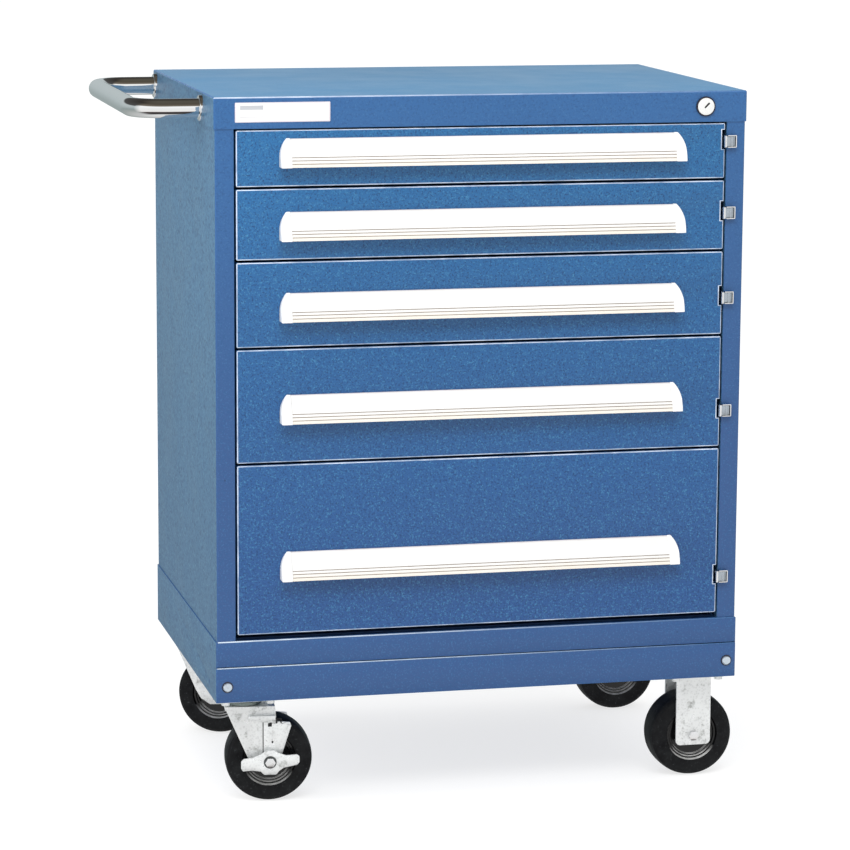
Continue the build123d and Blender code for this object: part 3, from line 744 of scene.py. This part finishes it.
# thin dark rings under the two kick plate bolts: painted shadow round each bolt head
fast = [v.co for v in nodes["fasteners"].data.vertices if v.co.y < front_y + 0.0005]
for tag, grp in (("left", [c for c in fast if c.x < 0]), ("right", [c for c in fast if c.x > 0])):
    cx = (min(c.x for c in grp) + max(c.x for c in grp)) / 2
    cz = (min(c.z for c in grp) + max(c.z for c in grp)) / 2
    rb = (max(c.x for c in grp) - min(c.x for c in grp)) / 2
    bm = bmesh.new()
    lathe(bm, [(rb * 0.6, 0.0001), (rb * 0.6, -0.0007), (rb + 0.0010, -0.0007), (rb + 0.0014, -0.0004),
               (rb + 0.0014, 0.0001)], (cx, front_y, cz), "Y", 48)
    w = new_object("bolt_shadow_ring_" + tag, bm)
    w.data.materials.append(MAT["bezel"])
    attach(w, "cabinet")

# --------------------------------------------------------------- floor and air
bm = bmesh.new()
bmesh.ops.create_grid(bm, x_segments=2, y_segments=2, size=120.0)
floor = new_object("floor", bm)
m, nt, b = material("floor_pale", (0.34, 0.34, 0.34), 0.85, specular=0.0)
nt.links.new(ramp(nt, noise(nt, coords(nt), 1.5, 3.0), [(0.3, (0.335, 0.335, 0.333)), (0.7, (0.345, 0.345, 0.343))]),
             b.inputs["Base Color"])
b.inputs["Emission Color"].default_value = (1, 1, 1, 1)
b.inputs["Emission Strength"].default_value = 0.73
floor.data.materials.append(m)
floor.visible_glossy = False

world = D2.worlds.new("studio")
bpy.context.scene.world = world
world.use_nodes = True
nt = world.node_tree
bg = nt.nodes["Background"]
tc = nt.nodes.new("ShaderNodeTexCoord")
sep = nt.nodes.new("ShaderNodeSeparateXYZ")
nt.links.new(tc.outputs["Generated"], sep.inputs["Vector"])
height = map_range(nt, sep.outputs["Z"], -1.0, 1.0, 0.0, 1.0)


def level(z):
    return (z + 1) / 2


ahead = ramp(nt, height, [
    (0.0, (0.80, 0.80, 0.80)), (level(-0.95), (0.80, 0.80, 0.80)), (level(-0.91), (0.05, 0.05, 0.05)),
    (level(-0.62), (0.07, 0.05, 0.05)), (level(-0.55), (0.92, 0.90, 0.88)), (level(0.00), (0.92, 0.92, 0.92)),
    (level(0.40), (1.05, 1.05, 1.05)), (level(0.48), (0.22, 0.19, 0.15)), (level(0.80), (0.085, 0.072, 0.055)),
    (1.0, (0.10, 0.09, 0.07))])
behind = ramp(nt, height, [
    (0.0, (0.80, 0.80, 0.80)), (level(-0.85), (0.60, 0.60, 0.60)), (level(-0.45), (0.38, 0.41, 0.40)),
    (level(-0.20), (0.31, 0.36, 0.36)), (level(0.05), (0.46, 0.52, 0.53)), (level(0.26), (0.52, 0.57, 0.58)),
    (level(0.36), (0.08, 0.08, 0.08)), (level(0.85), (0.04, 0.035, 0.03)), (1.0, (0.10, 0.09, 0.07))])
turn = map_range(nt, sep.outputs["Y"], -0.30, 0.05, 0.0, 1.0)
studio = mix_color(nt, turn, ahead, behind)
lp = nt.nodes.new("ShaderNodeLightPath")
soft = mix_color(nt, lp.outputs["Is Glossy Ray"], (0.42, 0.42, 0.42), studio)
air = mix_color(nt, lp.outputs["Is Camera Ray"], soft, (1.0, 1.0, 1.0))
nt.links.new(air, bg.inputs["Color"])
bg.inputs["Strength"].default_value = 1.0


def area(name, loc, target, size, power, color=(1, 1, 1)):
    l = D2.lights.new(name, "AREA")
    l.shape = "RECTANGLE"
    l.size, l.size_y = size
    l.energy = power
    l.color = color
    o = D2.objects.new(name, l)
    o.location = loc
    d = Vector(target) - Vector(loc)
    o.rotation_euler = d.to_track_quat("-Z", "Y").to_euler()
    bpy.context.scene.collection.objects.link(o)
    return o


area("key", (-0.6, -2.9, 3.7), (0, 0, 0.55), (2.6, 1.4), 80).visible_glossy = False
area("left", (-3.4, -0.6, 1.6), (0, 0, 0.55), (2.0, 2.0), 46).visible_glossy = False
sun = D2.lights.new("sky_soft", "SUN")
sun.energy = 1.75
sun.angle = math.radians(110)
so = D2.objects.new("sky_soft", sun)
so.rotation_euler = (math.radians(6), math.radians(-4), 0)
so.visible_glossy = False
bpy.context.scene.collection.objects.link(so)

# --------------------------------------------------------------------- camera
yaw, pitch, roll = math.radians(13.318), math.radians(9.999), math.radians(0.316)
f = Vector((math.sin(yaw) * math.cos(pitch), math.cos(yaw) * math.cos(pitch), -math.sin(pitch)))
r = Vector((math.cos(yaw), -math.sin(yaw), 0))
u = r.cross(f)
r2 = r * math.cos(roll) + u * math.sin(roll)
u2 = u * math.cos(roll) - r * math.sin(roll)
cam = D2.cameras.new("camera")
cam.sensor_width = 36.0
cam.lens = 3459.1 / 850 * 36.0
cam.clip_end = 500
co = D2.objects.new("camera", cam)
rot = Matrix((r2, u2, -f)).transposed().to_4x4()
co.matrix_world = Matrix.Translation(Vector((-1.1825 + 0.048, -4.9097 + 0.0097, 1.2273 + 0.158))) @ rot
bpy.context.scene.collection.objects.link(co)
bpy.context.scene.camera = co
bpy.context.scene.view_settings.view_transform = "Standard"
bpy.context.scene.view_settings.look = "None"

bpy.context.view_layer.update()
